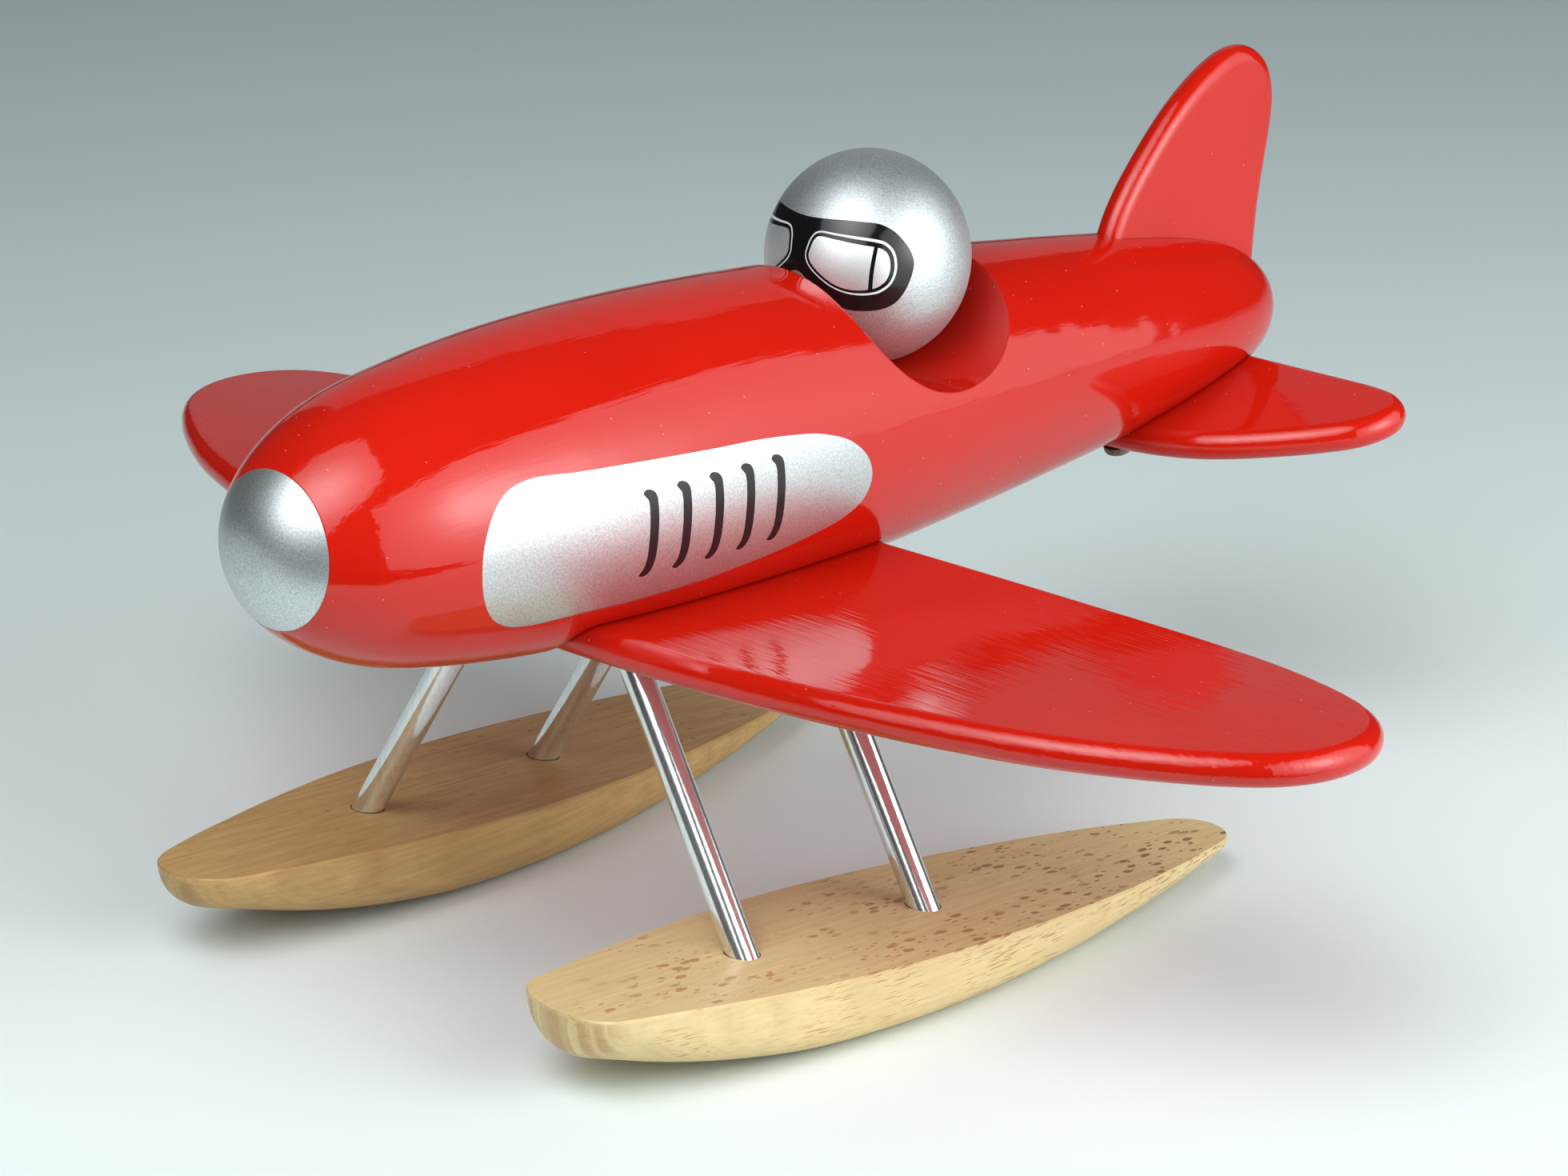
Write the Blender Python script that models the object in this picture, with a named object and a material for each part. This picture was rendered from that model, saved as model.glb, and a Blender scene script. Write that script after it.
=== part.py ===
"""Wooden toy floatplane on two floats, as separate named pieces.

Frame, in metres: nose towards -Y, port side towards +X, up +Z. The origin is under the middle of the
bounding box, on the floor that the two floats rest on.

All sizes below are in millimetres, in the toy's own frame: heights are above the deck of the floats, and the
wing is level. add_node tips everything nose up onto the floats' flats, and moves it to the origin.
"""
import math

import bmesh
import bpy
import numpy as np
from mathutils import Vector

MM = 0.001

# How the toy stands: nose up by this angle, with the flats under the floats on the floor.
STANDING_PITCH = 0.045
FLAT_DEPTH = 13.25
SHIFT_Y = -34.88

# Fuselage, turned on an axis along Y that rises slightly towards the tail.
AXIS_HEIGHT = 78.16
AXIS_RISE = 0.0046
NOSE_TIP = -101.46
NOSE_LENGTH = 34.7
NOSE_POWER = 2.7
TAIL_TIP = 160.6
TAIL_LENGTH = 135.0
TAIL_POWER = 2.46
TURNED_SEGMENTS = 60
TURNED_RINGS = 58

# The silver nose cap: everything in front of a plane that leans slightly.
CAP_PLANE_Y = -95.8
CAP_LEAN_X = 0.06
CAP_LEAN_Z = 0.05
CAP_JOINT = 0.06

# Pilot's head, a turned ball in a rounded notch cut across the fuselage.
HEAD_RADIUS = 19.65
HEAD_HALF_HEIGHT = 20.4
HEAD_Y = 48.7
HEAD_HEIGHT = 106.2
NOTCH_RADIUS = 22.43
NOTCH_Y = 48.3
NOTCH_HEIGHT = 107.9

# Planks with fully rounded rims. Each outline is the line that the rim is rounded about, so the plank reaches
# half its thickness further. A seat is the plank's own shape let into the wood, with this gap around it.
SEAT_GAP = 0.15
WING_THICKNESS = 6.26
WING_MIDDLE = 54.03
WING_OUTLINE = [
    (0.0, 32.3), (20.0, 32.8), (40.0, 33.7), (60.0, 34.4), (80.0, 35.0), (98.0, 35.3), (112.0, 35.0), (122.0, 34.0),
    (131.0, 32.3), (138.5, 29.9), (144.8, 26.0), (148.4, 20.9), (149.8, 15.0), (149.2, 8.5), (146.2, 2.0),
    (141.3, -3.4), (134.0, -9.0), (125.2, -14.5), (113.4, -20.5), (100.4, -25.3), (86.4, -29.4), (71.7, -32.9),
    (55.4, -35.8), (39.4, -37.9), (21.4, -39.4), (0.0, -40.2),
]
TAILPLANE_THICKNESS = 6.2
TAILPLANE_Y = 125.0
TAILPLANE_MIDDLE = 63.16
TAILPLANE_TILT = 0.255
TAILPLANE_OUTLINE = [
    (0.0, 20.4), (16.0, 20.6), (32.0, 21.0), (44.0, 21.2), (49.2, 20.5), (52.4, 18.0), (52.6, 14.6), (50.6, 10.0),
    (45.6, 5.0), (39.3, 0.2), (33.0, -4.0), (26.3, -7.6), (18.4, -10.3), (9.0, -12.0), (0.0, -12.6),
]
FIN_THICKNESS = 6.2
FIN_OUTLINE = [
    (114.6, 86.0), (115.2, 91.0), (116.4, 96.4), (118.6, 101.6), (121.7, 106.4), (125.4, 110.9), (129.4, 115.3),
    (133.6, 119.4), (138.4, 123.3), (143.6, 126.6), (149.0, 128.9), (153.6, 129.1), (157.4, 126.6), (159.2, 121.6),
    (159.0, 116.3), (158.0, 110.5), (156.9, 104.6), (156.0, 98.9), (155.4, 92.6), (155.0, 86.0),
]

# Struts: four round rods that lean inwards, from blind holes in the floats up into the fuselage. Each was
# read on its own, because the holes were drilled by hand and differ by a millimetre or two.
STRUT_RADIUS = 2.9
STRUT_HOLE_RADIUS = 3.1
STRUT_FOOT = 8.0
STRUT_TOP = 66.0
STRUTS = {
    # name: (distance from the middle at the deck, y at the deck, lean inwards, lean backwards)
    "front_port": (50.5, -30.1, 0.652, 0.027),
    "rear_port": (53.4, 12.4, 0.656, 0.023),
    "front_starboard": (52.0, -33.0, 0.645, 0.043),
    "rear_starboard": (53.1, 13.4, 0.655, 0.024),
}

# Floats: solid wood with a flat deck that is lower at the stern, bows closer together than the sterns.
FLOAT_X = 52.55
FLOAT_Y = -1.5
FLOAT_TOE = 0.07
DECK_RISE = 0.023
DECK_LEVEL_Y = -10.0
FLOAT_STERN = 89.1
STERN_ROUND = 6.5
FLOAT_BOWS = {
    # name: (side, end of the bow, length that it is rounded over); the port float is a little shorter
    "port": (1, -72.2, 6.9),
    "starboard": (-1, -82.3, 8.7),
}
BOW_LIFT = 1.2
BOW_LIFT_PLACE = 16.0
BOW_LIFT_LENGTH = 22.0
KEEL_ROUND = 9.0
KEEL_POWER = 2.0
END_POWER = 2.5
FLOAT_EDGE = 7.0
FLOAT_HALF_WIDTH = [
    (-84.0, 7.5), (-74.0, 10.6), (-66.0, 12.9), (-56.0, 15.2), (-42.0, 18.1), (-24.0, 20.7), (-4.0, 21.8), (16.0, 21.1),
    (36.0, 18.9), (54.0, 16.0), (70.0, 12.3), (80.0, 9.2), (90.0, 6.0),
]
FLOAT_DEPTH = [
    (-84.0, 6.6), (-74.0, 9.6), (-66.0, 11.0), (-58.0, 12.2), (-48.0, 13.2), (-38.0, 13.8), (-26.0, 14.2), (-12.0, 13.8),
    (0.0, 13.3), (12.0, 12.6), (23.0, 11.7), (36.0, 10.4), (48.0, 8.9), (60.0, 7.2), (74.0, 5.0), (82.0, 3.8), (90.0, 2.6),
]

# Screw under the tailplane, its head on the underside of the plank.
SCREW_X = 5.5
SCREW_ALONG = -11.4
SCREW_HEAD_RADIUS = 2.9
SCREW_HEAD_HEIGHT = 1.9
SCREW_SHANK_RADIUS = 1.4
SCREW_LENGTH = 12.0

MATERIALS = {
    "red_lacquer": ((0.73, 0.014, 0.010, 1.0), 0.0, 0.18),
    "silver_paint": ((0.62, 0.64, 0.66, 1.0), 0.75, 0.32),
    "polished_rod": ((0.80, 0.80, 0.80, 1.0), 1.0, 0.12),
    "pale_beech": ((0.72, 0.53, 0.31, 1.0), 0.0, 0.5),
    "brown_beech": ((0.50, 0.31, 0.16, 1.0), 0.0, 0.5),
    "dark_screw": ((0.05, 0.035, 0.025, 1.0), 0.3, 0.5),
}


def clear_scene():
    """Remove everything that a new file holds."""
    for thing in list(bpy.data.objects):
        bpy.data.objects.remove(thing, do_unlink=True)


def paint(node, slot):
    """Give a node its own Principled material."""
    colour, metallic, roughness = MATERIALS[slot]
    material = bpy.data.materials.new(node.name + "_" + slot)
    material.use_nodes = True
    shader = material.node_tree.nodes["Principled BSDF"]
    shader.inputs["Base Color"].default_value = colour
    shader.inputs["Metallic"].default_value = metallic
    shader.inputs["Roughness"].default_value = roughness
    node.data.materials.clear()
    node.data.materials.append(material)


def add_node(name, vertices, faces):
    """Make an object from vertices in the toy's frame: tip it nose up, lift it onto the floor and centre it."""
    cosine = math.cos(STANDING_PITCH)
    sine = math.sin(STANDING_PITCH)
    placed = []
    for x, y, z in vertices:
        along = y * cosine + z * sine + SHIFT_Y
        height = z * cosine - y * sine + FLAT_DEPTH
        placed.append((x * MM, along * MM, height * MM))
    mesh = bpy.data.meshes.new(name)
    mesh.from_pydata(placed, [], faces)
    mesh.validate()
    body = bmesh.new()
    body.from_mesh(mesh)
    bmesh.ops.recalc_face_normals(body, faces=body.faces)
    body.to_mesh(mesh)
    body.free()
    node = bpy.data.objects.new(name, mesh)
    bpy.context.scene.collection.objects.link(node)
    return node


def smooth_path(points, count):
    """Points spread evenly along a curve through the given points (centripetal spline, ends kept)."""
    given = np.array(points, float)
    ends = np.vstack([2 * given[0] - given[1], given, 2 * given[-1] - given[-2]])
    fine = []
    for k in range(1, len(ends) - 2):
        p0, p1, p2, p3 = ends[k - 1:k + 3]
        t1 = np.linalg.norm(p1 - p0) ** 0.5
        t2 = t1 + np.linalg.norm(p2 - p1) ** 0.5
        t3 = t2 + np.linalg.norm(p3 - p2) ** 0.5
        for t in np.linspace(t1, t2, 24, endpoint=False):
            a1 = p0 * (t1 - t) / t1 + p1 * t / t1
            a2 = p1 * (t2 - t) / (t2 - t1) + p2 * (t - t1) / (t2 - t1)
            a3 = p2 * (t3 - t) / (t3 - t2) + p3 * (t - t2) / (t3 - t2)
            b1 = a1 * (t2 - t) / t2 + a2 * t / t2
            b2 = a2 * (t3 - t) / (t3 - t1) + a3 * (t - t1) / (t3 - t1)
            fine.append(b1 * (t2 - t) / (t2 - t1) + b2 * (t - t1) / (t2 - t1))
    fine.append(given[-1])
    fine = np.array(fine)
    run = np.concatenate([[0.0], np.cumsum(np.linalg.norm(np.diff(fine, axis=0), axis=1))])
    marks = np.linspace(0.0, run[-1], count)
    return np.column_stack([np.interp(marks, run, fine[:, 0]), np.interp(marks, run, fine[:, 1])])


def axis_height(y):
    """Height of the fuselage's axis."""
    return AXIS_HEIGHT + AXIS_RISE * y


def end_factor(distance, power):
    """How far a blunt rounded end has closed, from 1 where the rounding starts (0) to 0 at the tip (1)."""
    share = min(max(distance, 0.0), 1.0)
    return (1.0 - share ** power) ** (1.0 / power)


def fuselage_radius(y):
    """The turned profile: a smooth barrel closed by a blunt nose and a long blunt tail."""
    v = y / 100.0
    barrel = 30.63 - 2.77 * v - 8.74 * v ** 2 + 5.70 * v ** 3
    nose = end_factor((NOSE_TIP + NOSE_LENGTH - y) / NOSE_LENGTH, NOSE_POWER)
    tail = end_factor((y - TAIL_TIP + TAIL_LENGTH) / TAIL_LENGTH, TAIL_POWER)
    return barrel * nose * tail


def fuselage_profile():
    """(y, radius) from tip to tip, with the rings closer together towards both ends."""
    profile = []
    for k in range(TURNED_RINGS + 1):
        share = 0.5 - 0.5 * math.cos(math.pi * k / TURNED_RINGS)
        y = NOSE_TIP + (TAIL_TIP - NOSE_TIP) * share
        profile.append((y, 0.0 if k in (0, TURNED_RINGS) else fuselage_radius(y)))
    return profile


def turned_body(name, profile, segments):
    """Revolve a (y, radius) profile about the fuselage's axis. A radius of zero is a pole."""
    vertices = []
    rings = []
    for y, radius in profile:
        if radius == 0.0:
            rings.append([len(vertices)])
            vertices.append((0.0, y, axis_height(y)))
            continue
        ring = []
        for k in range(segments):
            angle = 2 * math.pi * k / segments
            ring.append(len(vertices))
            vertices.append((radius * math.sin(angle), y, axis_height(y) + radius * math.cos(angle)))
        rings.append(ring)
    faces = []
    for ring, following in zip(rings[:-1], rings[1:]):
        for k in range(segments):
            after = (k + 1) % segments
            if len(ring) == 1:
                faces.append((ring[0], following[k], following[after]))
            elif len(following) == 1:
                faces.append((ring[k], following[0], ring[after]))
            else:
                faces.append((ring[k], following[k], following[after], ring[after]))
    return add_node(name, vertices, faces)


def ball(name, centre, radius, half_height, segments=56, rings=28):
    """A turned ball, a little taller than wide."""
    vertices = [(centre[0], centre[1], centre[2] + half_height), (centre[0], centre[1], centre[2] - half_height)]
    faces = []
    for row in range(1, rings):
        tilt = math.pi * row / rings
        for k in range(segments):
            angle = 2 * math.pi * k / segments
            across = radius * math.sin(tilt)
            vertices.append((centre[0] + across * math.sin(angle), centre[1] + across * math.cos(angle),
                             centre[2] + half_height * math.cos(tilt)))
    last = 2 + (rings - 2) * segments
    for k in range(segments):
        after = (k + 1) % segments
        faces.append((0, 2 + k, 2 + after))
        faces.append((1, last + after, last + k))
        for row in range(rings - 2):
            start = 2 + row * segments
            faces.append((start + k, start + segments + k, start + segments + after, start + after))
    return add_node(name, vertices, faces)


def rod(name, foot, head, radius, segments=40):
    """A round rod between two points."""
    foot = Vector(foot)
    head = Vector(head)
    along = (head - foot).normalized()
    side = along.cross(Vector((0, 1, 0))).normalized()
    other = along.cross(side)
    vertices = []
    for end in (foot, head):
        for k in range(segments):
            angle = 2 * math.pi * k / segments
            vertices.append(tuple(end + radius * (math.cos(angle) * side + math.sin(angle) * other)))
    faces = [tuple(range(segments)), tuple(range(segments, 2 * segments))]
    for k in range(segments):
        after = (k + 1) % segments
        faces.append((k, after, segments + after, segments + k))
    return add_node(name, vertices, faces)


def strut_point(name, side, height):
    """A point on a strut's slanted centre line."""
    out, y, inwards, backwards = STRUTS[name]
    return (side * (out - inwards * height), y + backwards * height, height)


def strut_hole(name, side):
    """A cutter on the strut's own line, a little wider and longer than the strut."""
    return rod("cutter", strut_point(name, side, -STRUT_FOOT - 0.3), strut_point(name, side, STRUT_TOP + 0.3),
               STRUT_HOLE_RADIUS)


def wing_place(level, across, along):
    """The wing lies level."""
    return (across, along, WING_MIDDLE + level)


def tailplane_place(level, across, along):
    """The tailplane follows the slope under the tail."""
    cosine = math.cos(TAILPLANE_TILT)
    sine = math.sin(TAILPLANE_TILT)
    return (across, TAILPLANE_Y + along * cosine - level * sine, TAILPLANE_MIDDLE + along * sine + level * cosine)


def fin_place(level, along, height):
    """The fin stands upright in the middle."""
    return (level, along, height)


def plank(name, outline, thickness, place, gap=0.0, skirt=0.0, steps=6):
    """A plank whose rim is rounded about the outline. With a skirt its lower half goes straight down instead."""
    outline = np.asarray(outline)
    tangent = np.roll(outline, -1, axis=0) - np.roll(outline, 1, axis=0)
    tangent /= np.linalg.norm(tangent, axis=1)[:, None]
    outward = np.column_stack([tangent[:, 1], -tangent[:, 0]])
    turning = np.sum(outline[:, 0] * np.roll(outline[:, 1], -1) - np.roll(outline[:, 0], -1) * outline[:, 1])
    if turning < 0:
        outward = -outward
    half = thickness / 2 + gap
    sections = [(half * math.cos(angle), half * math.sin(angle))
                for angle in np.linspace(-math.pi / 2, math.pi / 2, 2 * steps + 1)]
    if skirt:
        sections = [(half, -skirt)] + sections[steps:]
    vertices = []
    rings = []
    for out, level in sections:
        rings.append(list(range(len(vertices), len(vertices) + len(outline))))
        vertices += [place(level, first, second) for first, second in outline + outward * out]
    count = len(outline)
    faces = [tuple(rings[0]), tuple(rings[-1])]
    for ring, following in zip(rings[:-1], rings[1:]):
        for k in range(count):
            after = (k + 1) % count
            faces.append((ring[k], ring[after], following[after], following[k]))
    return add_node(name, vertices, faces)


def both_sides(outline, count):
    """A whole plan from its port half, which runs from the middle to the middle."""
    port = smooth_path(outline, count)
    port[0, 0] = 0.0
    port[-1, 0] = 0.0
    starboard = port[-2:0:-1] * np.array([-1.0, 1.0])
    return np.vstack([port, starboard])


def apply_boolean(node, other, operation):
    """Apply an exact boolean with another object, and remove that object."""
    modifier = node.modifiers.new("boolean", 'BOOLEAN')
    modifier.operation = operation
    modifier.solver = 'EXACT'
    modifier.object = other
    graph = bpy.context.evaluated_depsgraph_get()
    result = bpy.data.meshes.new_from_object(node.evaluated_get(graph))
    node.modifiers.clear()
    old = node.data
    node.data = result
    bpy.data.meshes.remove(old)
    bpy.data.objects.remove(other, do_unlink=True)


def cut(node, cutter):
    """Take a cutter away from a node."""
    apply_boolean(node, cutter, 'DIFFERENCE')


def front_block(plane_y):
    """A block in front of the cap's leaning plane."""
    reach = 40.0
    vertices = []
    for x, z in ((-reach, -reach), (reach, -reach), (reach, reach), (-reach, reach)):
        vertices.append((x, plane_y + CAP_LEAN_X * x + CAP_LEAN_Z * z, axis_height(plane_y) + z))
        vertices.append((x, plane_y - reach, axis_height(plane_y) + z))
    faces = [(0, 2, 4, 6), (1, 3, 5, 7), (0, 1, 3, 2), (2, 3, 5, 4), (4, 5, 7, 6), (6, 7, 1, 0)]
    return add_node("cutter", vertices, faces)


def floor_block():
    """A block under the floor that the floats rest on."""
    cosine = math.cos(STANDING_PITCH)
    sine = math.sin(STANDING_PITCH)
    vertices = []
    for x, y in ((-120, -150), (120, -150), (120, 150), (-120, 150)):
        for height in (-20.0, 0.0):
            below = height - FLAT_DEPTH
            vertices.append((x, y * cosine - below * sine, y * sine + below * cosine))
    faces = [(0, 2, 4, 6), (1, 3, 5, 7), (0, 1, 3, 2), (2, 3, 5, 4), (4, 5, 7, 6), (6, 7, 1, 0)]
    return add_node("cutter", vertices, faces)


def float_body(name, side, bow, bow_round):
    """A float: rings across it from bow to stern, flat deck, steep sides, rounded lower edges, flat under it."""
    shares = 0.5 - 0.5 * np.cos(math.pi * np.arange(45) / 44)
    positions = bow + 0.05 + (FLOAT_STERN - bow - 0.1) * shares
    widths = np.interp(positions, *smooth_path(FLOAT_HALF_WIDTH, 200).T)
    depths = np.interp(positions, *smooth_path(FLOAT_DEPTH, 200).T)
    depths -= BOW_LIFT * np.exp(-((positions - bow - BOW_LIFT_PLACE) / BOW_LIFT_LENGTH) ** 2)
    cosine = math.cos(FLOAT_TOE)
    sine = math.sin(FLOAT_TOE)
    around = 9
    vertices = []
    rings = []
    for along, width, depth in zip(positions, widths, depths):
        closing = end_factor((along - FLOAT_STERN + STERN_ROUND) / STERN_ROUND, END_POWER)
        width *= closing * end_factor((bow + bow_round - along) / bow_round, END_POWER)
        depth *= closing * end_factor((bow + KEEL_ROUND - along) / KEEL_ROUND, KEEL_POWER)
        edge = min(FLOAT_EDGE, 0.6 * width, 0.8 * depth)
        half = [(width, 0.0)]
        for k in range(around + 1):
            angle = 0.5 * math.pi * k / around
            half.append((width - edge + edge * math.cos(angle), edge - depth - edge * math.sin(angle)))
        ring = half + [(-across, below) for across, below in reversed(half)]
        rings.append(list(range(len(vertices), len(vertices) + len(ring))))
        for across, below in ring:
            x = FLOAT_X + along * sine + across * cosine
            y = FLOAT_Y + along * cosine - across * sine
            vertices.append((side * x, y, below - DECK_RISE * (y - DECK_LEVEL_Y)))
    count = len(rings[0])
    faces = [tuple(rings[0]), tuple(rings[-1])]
    for ring, following in zip(rings[:-1], rings[1:]):
        for k in range(count):
            after = (k + 1) % count
            faces.append((ring[k], ring[after], following[after], following[k]))
    body = add_node(name, vertices, faces)
    cut(body, floor_block())
    return body


clear_scene()

wing_outline = both_sides(WING_OUTLINE, 50)
tailplane_outline = both_sides(TAILPLANE_OUTLINE, 36)
fin_outline = smooth_path(FIN_OUTLINE, 52)

fuselage = turned_body("fuselage", fuselage_profile(), TURNED_SEGMENTS)
nose_cap = turned_body("nose_cap", fuselage_profile(), TURNED_SEGMENTS)
apply_boolean(nose_cap, front_block(CAP_PLANE_Y), 'INTERSECT')
paint(nose_cap, "silver_paint")

cut(fuselage, front_block(CAP_PLANE_Y + CAP_JOINT))
cut(fuselage, plank("cutter", wing_outline, WING_THICKNESS, wing_place, SEAT_GAP, 30.0))
cut(fuselage, plank("cutter", tailplane_outline, TAILPLANE_THICKNESS, tailplane_place, SEAT_GAP, 40.0))
cut(fuselage, plank("cutter", fin_outline, FIN_THICKNESS, fin_place, SEAT_GAP))
cut(fuselage, rod("cutter", (-60, NOTCH_Y, NOTCH_HEIGHT), (60, NOTCH_Y + 0.001, NOTCH_HEIGHT), NOTCH_RADIUS, 72))

wing = plank("wing", wing_outline, WING_THICKNESS, wing_place)
tailplane = plank("tailplane", tailplane_outline, TAILPLANE_THICKNESS, tailplane_place)
fin = plank("fin", fin_outline, FIN_THICKNESS, fin_place)
pilot_head = ball("pilot_head", (0.0, HEAD_Y, HEAD_HEIGHT), HEAD_RADIUS, HEAD_HALF_HEIGHT)
paint(pilot_head, "silver_paint")

for hand, (side, bow, bow_round) in FLOAT_BOWS.items():
    hull = float_body("float_" + hand, side, bow, bow_round)
    for place in ("front_" + hand, "rear_" + hand):
        foot = strut_point(place, side, -STRUT_FOOT)
        head = strut_point(place, side, STRUT_TOP)
        strut = rod("strut_" + place, foot, head, STRUT_RADIUS)
        paint(strut, "polished_rod")
        for piece in (fuselage, wing, hull):
            cut(piece, strut_hole(place, side))
    paint(hull, "pale_beech" if side > 0 else "brown_beech")

under = -TAILPLANE_THICKNESS / 2
screw_head = tailplane_place(under - 0.05, SCREW_X, SCREW_ALONG)
screw_end = tailplane_place(under - SCREW_HEAD_HEIGHT, SCREW_X, SCREW_ALONG)
screw_tip = tailplane_place(under + SCREW_LENGTH, SCREW_X, SCREW_ALONG)
screw_hole_end = tailplane_place(under + SCREW_LENGTH + 0.3, SCREW_X, SCREW_ALONG)
tail_screw = rod("tail_screw", screw_end, screw_head, SCREW_HEAD_RADIUS, 32)
apply_boolean(tail_screw, rod("cutter", screw_end, screw_tip, SCREW_SHANK_RADIUS, 20), 'UNION')
for piece in (fuselage, tailplane):
    cut(piece, rod("cutter", screw_end, screw_hole_end, SCREW_SHANK_RADIUS + 0.15, 20))
paint(tail_screw, "dark_screw")

for piece in (fuselage, wing, tailplane, fin):
    paint(piece, "red_lacquer")
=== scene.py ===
"""Looks of the wooden toy floatplane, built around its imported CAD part."""
import math

import bmesh
import bpy
import numpy as np
from mathutils import Matrix, Vector


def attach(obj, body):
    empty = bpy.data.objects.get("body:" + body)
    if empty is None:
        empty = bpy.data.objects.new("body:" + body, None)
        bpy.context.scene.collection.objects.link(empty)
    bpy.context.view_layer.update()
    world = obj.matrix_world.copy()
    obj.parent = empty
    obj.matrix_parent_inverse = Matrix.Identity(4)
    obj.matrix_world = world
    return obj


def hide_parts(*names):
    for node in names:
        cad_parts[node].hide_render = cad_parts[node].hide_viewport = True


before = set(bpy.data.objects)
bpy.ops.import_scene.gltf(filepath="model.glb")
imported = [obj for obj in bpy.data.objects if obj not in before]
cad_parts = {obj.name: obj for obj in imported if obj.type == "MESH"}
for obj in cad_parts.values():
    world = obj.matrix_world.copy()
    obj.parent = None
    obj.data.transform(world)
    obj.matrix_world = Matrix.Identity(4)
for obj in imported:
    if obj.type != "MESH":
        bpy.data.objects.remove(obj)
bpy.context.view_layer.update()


# FUSELAGE
# A single piece of beech turned on a lathe: a long barrel with a blunt nose and tail, flat seats sawn under
# it for the wing and the tailplane, a round notch bored across it for the head and a slot for the fin. It is
# sprayed with several coats of red lacquer, thick enough to pull into small waves over the grain.

# Millimetres in the toy's own frame: deck of the floats at 0, wing level, nose towards -Y, port towards +X.
MM = 0.001
STANDING_PITCH = 0.045
FLAT_DEPTH = 13.25
SHIFT_Y = -34.88
AXIS_HEIGHT = 78.16
AXIS_RISE = 0.0046
NOSE_TIP, NOSE_LENGTH, NOSE_POWER = -101.46, 34.7, 2.7
TAIL_TIP, TAIL_LENGTH, TAIL_POWER = 160.6, 135.0, 2.46
CAP_PLANE_Y, CAP_LEAN_X, CAP_LEAN_Z = -95.8, 0.06, 0.05
CAP_JOINT = 0.05
BLOCK_HALF, BLOCK_LENGTH = 60.0, 50.0
NOTCH_RADIUS, NOTCH_Y, NOTCH_HEIGHT, NOTCH_REACH = 22.43, 48.3, 107.9, 60
SEAT_GAP = 0.35
WING_SEAT_DEPTH, TAILPLANE_SEAT_DEPTH = 30.0, 40.0
SMOOTH_BELOW = 32.0


def to_frame(points):
    """Points of the toy's own frame, tipped nose up by the standing pitch and set on the floor, in metres."""
    x, y, z = np.moveaxis(np.asarray(points, float), -1, 0)
    cosine, sine = math.cos(STANDING_PITCH), math.sin(STANDING_PITCH)
    return np.stack([x, y * cosine + z * sine + SHIFT_Y, z * cosine - y * sine + FLAT_DEPTH], axis=-1) * MM


def end_factor(distance, power):
    """(1 - s^p)^(1/p), where s is the distance clipped to 0..1: a superellipse that closes a turned end."""
    share = np.clip(distance, 0.0, 1.0)
    return (1.0 - share ** power) ** (1.0 / power)


def axis_height(y):
    """Height of the fuselage's axis, a line that rises a little towards the tail."""
    return AXIS_HEIGHT + AXIS_RISE * y


def fuselage_radius(y):
    """A cubic in y for the barrel, times the superellipse of the nose and of the tail."""
    v = np.asarray(y, float) / 100.0
    barrel = 30.63 - 2.77 * v - 8.74 * v ** 2 + 5.70 * v ** 3
    nose = end_factor((NOSE_TIP + NOSE_LENGTH - y) / NOSE_LENGTH, NOSE_POWER)
    tail = end_factor((y - TAIL_TIP + TAIL_LENGTH) / TAIL_LENGTH, TAIL_POWER)
    return barrel * nose * tail


def skin(name, grid, sharp_degrees=SMOOTH_BELOW):
    """A closed mesh over a grid of points, rows by columns. Columns run round into rings, and each end row is
    closed by a fan to its middle point. It is shaded smooth except over edges sharper than the angle."""
    grid = np.asarray(grid, float)
    rows, columns, _ = grid.shape
    points = np.vstack([grid.reshape(-1, 3), grid[0].mean(axis=0), grid[-1].mean(axis=0)])
    index = np.arange(rows * columns).reshape(rows, columns)
    after = np.roll(index, -1, axis=1)
    quads = np.stack([index[:-1], after[:-1], after[1:], index[1:]], axis=-1).reshape(-1, 4)
    first = np.stack([np.full(columns, rows * columns), after[0], index[0]], axis=-1)
    last = np.stack([np.full(columns, rows * columns + 1), index[-1], after[-1]], axis=-1)
    mesh = bpy.data.meshes.new(name)
    mesh.from_pydata(to_frame(points).tolist(), [], quads.tolist() + first.tolist() + last.tolist())
    return finish_mesh(name, mesh, sharp_degrees)


def finish_mesh(name, mesh, sharp_degrees):
    """Merge doubled points, turn the faces outwards, shade smooth, and put the mesh in the scene."""
    body = bmesh.new()
    body.from_mesh(mesh)
    bmesh.ops.remove_doubles(body, verts=body.verts, dist=1e-7)
    bmesh.ops.recalc_face_normals(body, faces=body.faces)
    body.to_mesh(mesh)
    body.free()
    shade(mesh, sharp_degrees)
    piece = bpy.data.objects.new(name, mesh)
    bpy.context.scene.collection.objects.link(piece)
    return piece


def shade(mesh, sharp_degrees):
    """Smooth shading, broken at edges sharper than the angle."""
    mesh.polygons.foreach_set("use_smooth", np.ones(len(mesh.polygons), bool))
    mesh.set_sharp_from_angle(angle=math.radians(sharp_degrees))


def turned(name, rows=220, columns=160):
    """The profile carried round the axis: (r sin a, y, axis + r cos a), its rows crowded to both ends."""
    share = 0.5 - 0.5 * np.cos(np.pi * np.linspace(0.004, 0.996, rows))
    y = (NOSE_TIP + (TAIL_TIP - NOSE_TIP) * share)[:, None]
    angle = 2 * np.pi * np.arange(columns) / columns
    x = fuselage_radius(y) * np.sin(angle)
    z = axis_height(y) + fuselage_radius(y) * np.cos(angle)
    return skin(name, np.stack(np.broadcast_arrays(x, y, z), -1))


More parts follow.
